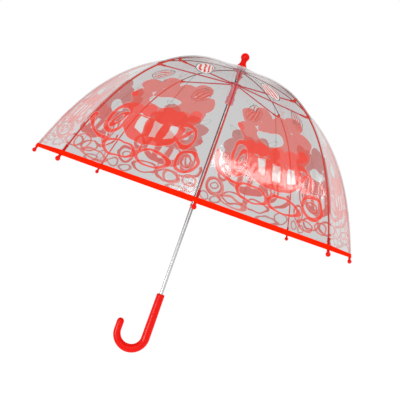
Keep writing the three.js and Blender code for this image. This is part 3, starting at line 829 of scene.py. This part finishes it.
def film_strip(number, part, start, end, rows):
    """One strip of film over a rib: its mesh, and its flat area in square metres."""
    wide = 2 * HALF_GORE_STEPS + 1
    lengths = np.linspace(start, end, rows + 1)
    points, across, area = [], [], 0.0
    for length in lengths:
        row, off, half_gore = gore_row(length)
        points.append(row)
        across.append(half_gore - off)  # distance from the gore's centre line
        area += 2 * half_gore * (end - start) / rows
    faces, uvs = [], []
    for row in range(rows):
        for k in range(wide - 1):
            a, b = row * wide + k, row * wide + k + 1
            faces.append((a, a + wide, b + wide, b))
            side = -1 if k >= HALF_GORE_STEPS else 1  # right of a rib lies the next gore's left half
            for corner_row, corner in ((row, k), (row + 1, k), (row + 1, k + 1), (row, k + 1)):
                uvs.append((side * across[corner_row][corner], lengths[corner_row]))
    name = f"film_{number}_{part}"
    piece = make_mesh(name, np.vstack(points), faces, FILM, azimuth_of(number), uvs=uvs)
    return piece, area * MM * MM


def azimuth_of(number):
    return -math.pi / 2 + (number - 1) * 2 * HALF_PITCH


def tangent_of(number):
    azimuth = azimuth_of(number)
    return (-math.sin(azimuth), math.cos(azimuth), 0.0)


def fold(piece, number):
    """Gives the piece a mesh of its own; the rib's tangent is worked out and not used."""
    tangent_of(number)
    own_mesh(piece)


def add_canopy(number):
    inner, outer = f"rib_{number}_inner", f"rib_{number}_outer"
    upper, upper_area = film_strip(number, "upper", HOLE_RADIUS, SPLIT, UPPER_ROWS)
    lower, lower_area = film_strip(number, "lower", SPLIT, OUTLINE_LENGTH, LOWER_ROWS)
    binding = hem_binding(number)
    for piece, body, node in (
        (upper, inner, f"canopy_{number}_upper"),
        (lower, outer, f"canopy_{number}_lower"),
        (binding, outer, None),
    ):
        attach(piece, body)
        if node:
            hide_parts(node)
        fold(piece, number)


def hem_binding(number):
    """Tape folded over the hem of one strip, both ends closed."""
    half = BINDING_THICKNESS / 2
    # Section of the tape: (distance down from the hem's edge, outward offset)
    section = [(-BINDING_WIDTH, 0.18), (-BINDING_WIDTH, half), (-BINDING_WIDTH + 0.5, half + 0.12)]
    section += [(-BINDING_WIDTH + 2.4, half - 0.06), (-3.0, half), (-0.6, half), (0.0, half * 0.7)]
    section += [(0.25, 0.0)]
    section += [(d, -o) for d, o in reversed(section[:-1])]
    sides = len(section)
    edge, off, half_gore = gore_row(OUTLINE_LENGTH)
    out = np.array((math.sin(HEM_ANGLE), 0.0, math.cos(HEM_ANGLE)))
    points, across, downs = [], [], []
    for k, base in enumerate(edge):
        sign = -1 if k < HALF_GORE_STEPS else 1
        turn = Matrix.Rotation(sign * HALF_PITCH * min(1.0, off[k] / BINDING_CORNER), 3, "Z")
        down_way, out_way = np.array(turn @ Vector(HEM_DIRECTION)), np.array(turn @ Vector(out))
        for down, offset in section:
            on_film = base + down_way * down if down > -0.1 else row_point(down, k)
            points.append(on_film + out_way * offset)
            across.append(-sign * (half_gore - off[k]))
            downs.append(OUTLINE_LENGTH + down)
    faces = ring_faces(len(edge), sides)
    last = len(points) - sides
    faces.append(tuple(reversed(range(sides))))
    faces.append(tuple(range(last, last + sides)))
    uvs = [(across[v], downs[v]) for face in faces for v in face]
    piece = make_mesh(
        f"binding_{number}", points, faces, BINDING, azimuth_of(number), uvs=uvs
    )
    return sharpen(piece, 50)


def row_point(down, k):
    return gore_row(OUTLINE_LENGTH + down)[0][k]


# ---------------------------------------------------------------- ribs

def along_rib(x, z, slope_length):
    """Placer of a piece made upright about Z, laid against the rib there."""
    slope = outline_slope(np.interp(slope_length, FINE_LENGTH, FINE_T))[0]

    def place(points):
        forward = points[:, 0]
        up = points[:, 2]
        return np.column_stack(
            (x + forward * slope[0] - up * slope[1], points[:, 1], z + forward * slope[1] + up * slope[0])
        )

    return place


def add_rib(number):
    azimuth = azimuth_of(number)
    inner, outer = f"rib_{number}_inner", f"rib_{number}_outer"
    rod_start = length_at(ROD_START_RADIUS) - ROD_OVERLAP
    meeting = SPLIT - ROD_MEETING
    line, radii = rounded_ends(rib_line(rod_start, meeting), WIRE_RADIUS)
    rod = sweep(f"rib_rod_{number}_inner", line, radii, WIRE_PAINT, azimuth=azimuth)
    wire_x, wire_z = CROWN_WIRE

    def upright(points):
        return points + np.array((wire_x, 0, wire_z))

    blade = block(
        f"rib_blade_{number}", (-EYE_RADIUS, -EYE_HALF_WIDTH, -EYE_HALF_HEIGHT),
        (RIB_EYE_LENGTH, EYE_HALF_WIDTH, EYE_HALF_HEIGHT), WIRE_PAINT, upright, azimuth,
    )
    bevelled(blade, 0.5)
    axis_x, axis_z = inside([CLIP], RIB_INSET)[0]
    clip = block(
        f"rib_clip_{number}", (-CLIP_HALF_LENGTH, CLIP_SIDES[0], -CLIP_DROP - CLIP_CHEEK),
        (CLIP_HALF_LENGTH, CLIP_SIDES[1], CLIP_CHEEK),
        RIB_PAINT, along_rib(axis_x, axis_z, CLIP), azimuth,
    )
    bevelled(clip, 0.9)
    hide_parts(inner)
    for piece in (rod, blade, clip):
        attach(piece, inner)

    line, radii = rounded_ends(rib_line(meeting, OUTLINE_LENGTH), RIB_RADIUS)
    rod = sweep(f"rib_rod_{number}_outer", line, radii, RIB_PAINT, azimuth=azimuth)
    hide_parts(outer)
    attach(rod, outer)
    add_tip(number, azimuth)


def add_tip(number, azimuth):
    """Ball on a sleeve, with a small bead at the sleeve's mouth."""
    neck = math.degrees(math.asin(TIP_SLEEVE_RADIUS / TIP_BALL_RADIUS))
    mouth = TIP_SLEEVE_LENGTH
    profile = [(0.0, -TIP_BALL_RADIUS)]
    profile += arc((0, 0), TIP_BALL_RADIUS, -80, 90 - neck, 14)
    profile += [(TIP_SLEEVE_RADIUS + 0.25, 4.4), (TIP_SLEEVE_RADIUS, 5.2)]
    profile += [(TIP_SLEEVE_RADIUS - 0.15, mouth - 2.2), (TIP_SLEEVE_RADIUS + 0.1, mouth - 1.6)]
    profile += [(TIP_SLEEVE_RADIUS + 0.1, mouth - 0.5), (TIP_SLEEVE_RADIUS - 0.2, mouth)]
    profile += [(RIB_RADIUS + 0.1, mouth), (RIB_RADIUS + 0.1, mouth - 3), (0.0, mouth - 3)]
    lean = HEM_ANGLE - math.pi / 2

    def place(points):
        c, s = math.cos(lean), math.sin(lean)
        x = points[:, 0] * c + points[:, 2] * s
        z = -points[:, 0] * s + points[:, 2] * c
        return np.column_stack((x + TIP_CENTRE[0], points[:, 1], z + TIP_CENTRE[2]))

    tip = revolve(f"tip_{number}", profile, RED, 28, place, azimuth)
    sharpen(tip)
    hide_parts(f"rib_{number}_tip")
    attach(tip, f"rib_{number}_outer")


def add_stretcher(number):
    azimuth = azimuth_of(number)
    body = f"stretcher_{number}"
    start = np.array((RUNNER_WIRE[0], 0.0, RUNNER_WIRE[1]))
    end = np.array((STRETCHER_END[0], STRETCHER_SHIFT, STRETCHER_END[1]))
    along = (end - start) / np.linalg.norm(end - start)
    length = np.linalg.norm(end - start)
    rod_points = [start + along * d for d in np.linspace(STRETCHER_START, length, 12)]
    line, radii = rounded_ends(rod_points, STRETCHER_RADIUS)
    rod = sweep(f"stretcher_rod_{number}", line, radii, STRETCHER_PAINT, azimuth=azimuth)
    sleeve_points = [end + along * d for d in np.linspace(-SLEEVE_LENGTH, SLEEVE_OVERHANG, 8)]
    line, radii = rounded_ends(sleeve_points, SLEEVE_RADIUS)
    sleeve = sweep(f"stretcher_sleeve_{number}", line, radii, RIB_PAINT, azimuth=azimuth)

    def placed(points):
        return points + start

    eye = block(
        f"stretcher_eye_{number}", (-EYE_RADIUS, -EYE_HALF_WIDTH, -EYE_HALF_HEIGHT),
        (STRETCHER_EYE_LENGTH, EYE_HALF_WIDTH, EYE_HALF_HEIGHT), STRETCHER_PAINT, placed, azimuth,
    )
    bevelled(eye, 0.5)
    rivet_profile = [(0, -6.2), (0.7, -6.2), (0.7, 1.7), (1.3, 1.8), (1.1, 2.3), (0, 2.5)]

    def across(points):
        return np.column_stack((points[:, 0] + end[0], points[:, 2] + end[1], -points[:, 1] + end[2]))

    rivet = revolve(f"rivet_{number}", rivet_profile, SPRING, 16, across, azimuth)
    sharpen(rivet)
    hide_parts(body)
    for piece in (rod, sleeve, eye):
        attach(piece, body)
    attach(rivet, f"rib_{number}_inner")


# ---------------------------------------------------------------- crown, runner, shaft

def notches(floor, outer, low, high):
    """Cutters for the radial notches in a hub."""
    cutters = []
    for number in range(1, RIB_COUNT + 1):
        cutters.append(
            block(
                f"notch_{number}", (floor, -NOTCH_WIDTH / 2, low), (outer, NOTCH_WIDTH / 2, high),
                RED, azimuth=azimuth_of(number),
            )
        )
    return cutters


def groove(name, floor, outer, wire):
    """Cutter for the groove that holds a hub's wire ring."""
    low, high = wire - GROOVE_HALF_WIDTH, wire + GROOVE_HALF_WIDTH
    profile = [(floor, low), (outer, low), (outer, high), (floor, high), (floor, low)]
    return revolve(name, profile, RED, 64)


def finish_hub(piece, node, body):
    bevelled(sharpen(piece), 0.35, 2)
    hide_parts(node)
    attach(piece, body)


def add_crown():
    profile = [
        (4.3, 271.0), (5.3, 271.0), (5.6, 271.6), (5.6, 283.4), (6.4, 284.4), (10.0, 284.4),
        (10.0, 289.6), (4.3, 289.6), (4.3, 271.0),
    ]
    body = revolve("crown_hub", profile, HUB_PLASTIC, 64)
    cut(body, *notches(5.7, 11.0, 283.0, 291.0), groove("groove", 6.5, 11.0, CROWN_WIRE[1]))
    finish_hub(body, "crown", "frame")


def add_runner():
    profile = [
        (4.4, 216.0), (6.0, 216.0), (8.1, 217.4), (8.5, 218.2), (8.5, 220.4), (7.9, 221.2),
        (7.9, 226.8), (8.5, 227.6), (8.5, 229.6), (7.8, 231.0), (6.7, 232.2), (6.5, 234.0),
        (6.5, 250.5), (7.0, 251.6), (10.4, 254.6), (11.0, 255.6), (11.0, 260.4), (10.5, 261.0),
        (4.4, 261.0), (4.4, 216.0),
    ]
    body = revolve("runner_sleeve", profile, HUB_PLASTIC, 64)
    window = block("window", (-1.0, 0.0, 235.0), (1.0, 9.0, 252.0), RED)
    cut(body, *notches(7.4, 12.0, 251.9, 262.0), groove("groove", 8.2, 12.0, RUNNER_WIRE[1]), window)
    finish_hub(body, "runner", "runner")


def add_shaft():
    inner = SHAFT_RADIUS - SHAFT_WALL
    profile = [
        (inner, SHAFT_BOTTOM_Z), (SHAFT_RADIUS, SHAFT_BOTTOM_Z), (SHAFT_RADIUS, SHAFT_TOP_Z),
        (inner, SHAFT_TOP_Z), (inner, SHAFT_BOTTOM_Z),
    ]
    tube = revolve("shaft", profile, CHROME, 64)
    slots = [
        block(
            f"slot_{k}", (-SLOT_HALF_WIDTH, 0.0, low),
            (SLOT_HALF_WIDTH, SHAFT_RADIUS + 1, low + SLOT_LENGTH), RED,
        )
        for k, low in enumerate(SLOT_LOWS)
    ]
    sharpen(cut(tube, *slots))
    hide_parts("shaft_tube")
    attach(tube, "frame")


def add_ferrule():
    """Ball on a waisted foot, all one smooth turning."""
    profile = [(4.4, 291.9), (8.6, 291.9), (9.2, 292.6), (9.4, 294.0), (9.4, 298.4), (9.0, 299.6)]
    profile += [(8.0, 301.0), (6.9, 302.8), (6.1, 305.0), (5.7, 307.4), (5.9, 309.6)]
    profile += arc((0, FERRULE_BALL_Z), FERRULE_BALL_RADIUS, -48, 84, 18)
    profile += [(0.0, FERRULE_BALL_Z + FERRULE_BALL_RADIUS)]
    body = revolve("ferrule_body", profile, RED, 56)
    sharpen(body, 50)
    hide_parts("ferrule")
    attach(body, "frame")


def add_handle():
    """Crook handle in one moulding: lip, swelling grip, half turn, short rise and round end."""
    top, bend, tail = HANDLE_RADII
    bend_z = HANDLE_TOP_Z - GRIP_LENGTH
    centres, radii = [], []
    for share in np.linspace(0, 1, 26):
        smooth = share * share * (3 - 2 * share)
        centres.append((0.0, 0.0, HANDLE_TOP_Z - share * GRIP_LENGTH))
        radii.append(top + (bend - top) * smooth)
    for angle in np.radians(np.arange(4, 181, 4)):
        centres.append(
            (CROOK_RADIUS * (math.cos(angle) - 1), 0.0, bend_z - CROOK_RADIUS * math.sin(angle))
        )
        radii.append(bend + (tail - bend) * max(0.0, 2 * angle / math.pi - 1))
    for rise in np.linspace(2, END_RISE, 6):
        centres.append((-2 * CROOK_RADIUS, 0.0, bend_z + rise))
        radii.append(tail)
    for angle in np.radians(np.linspace(12, 88, 8)):
        centres.append((-2 * CROOK_RADIUS, 0.0, bend_z + END_RISE + tail * math.sin(angle)))
        radii.append(tail * math.cos(angle))
    lip = [(0.0, 2.4), (0.5, 1.1), (1.3, 0.35), (2.6, 0.0)]  # (below the top, less than its radius)
    centres = [(0.0, 0.0, HANDLE_TOP_Z - low) for low, _ in lip] + centres[1:]
    radii = [top - less for _, less in lip] + radii[1:]
    body = sweep("crook_handle", centres, radii, RED, 40)
    sharpen(body, 50)
    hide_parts("handle")
    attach(body, "frame")


def keep_cad_node(node, material):
    """A CAD piece that shows as it is, with smooth faces and its own finish."""
    piece = sharpen(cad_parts[node])
    piece.data.materials.clear()
    piece.data.materials.append(material)


add_crown()
add_runner()
add_shaft()
add_ferrule()
add_handle()
for name in ("crown_wire", "runner_wire", "crown_pin", "open_catch", "closed_catch"):
    keep_cad_node(name, SPRING)
keep_cad_node("canopy_cap", RED)
for number in range(1, RIB_COUNT + 1):
    add_rib(number)
    add_stretcher(number)
    add_canopy(number)
